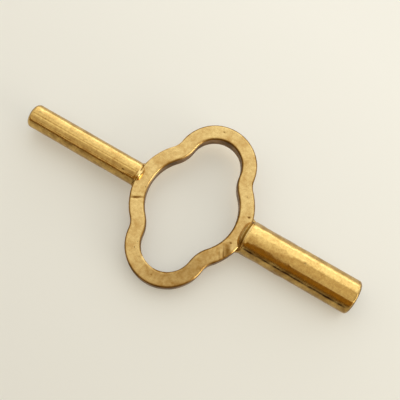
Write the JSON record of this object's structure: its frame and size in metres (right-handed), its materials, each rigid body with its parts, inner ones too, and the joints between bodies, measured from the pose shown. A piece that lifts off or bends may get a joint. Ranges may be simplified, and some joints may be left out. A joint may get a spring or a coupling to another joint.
{
  "type": "double-ended clock key",
  "caption": "Brass double-ended clock key: lobed finger bow with a square winding socket at one end and a small setting socket at the other.",
  "frame": {"origin": "centre of the bow, on the key's long axis and half way through the bow's thickness", "axes": "+X along the key and out of the winding socket, +Y to the side of the bow, +Z square out of the bow's face"},
  "size_m": [0.0761, 0.0366, 0.0074],
  "materials": {
    "bow_brass": "filed and tumbled, satin, light patina",
    "barrel_brass": "drawn and burnished, worn bright along the top",
    "silver_solder": "smooth as it ran, pale and bright"
  },
  "bodies": {
    "root": {"bow": "bow_brass", "winding_barrel": "barrel_brass", "setting_barrel": "barrel_brass", "winding_solder": "silver_solder", "setting_solder": "silver_solder"}
  },
  "joints": []
}
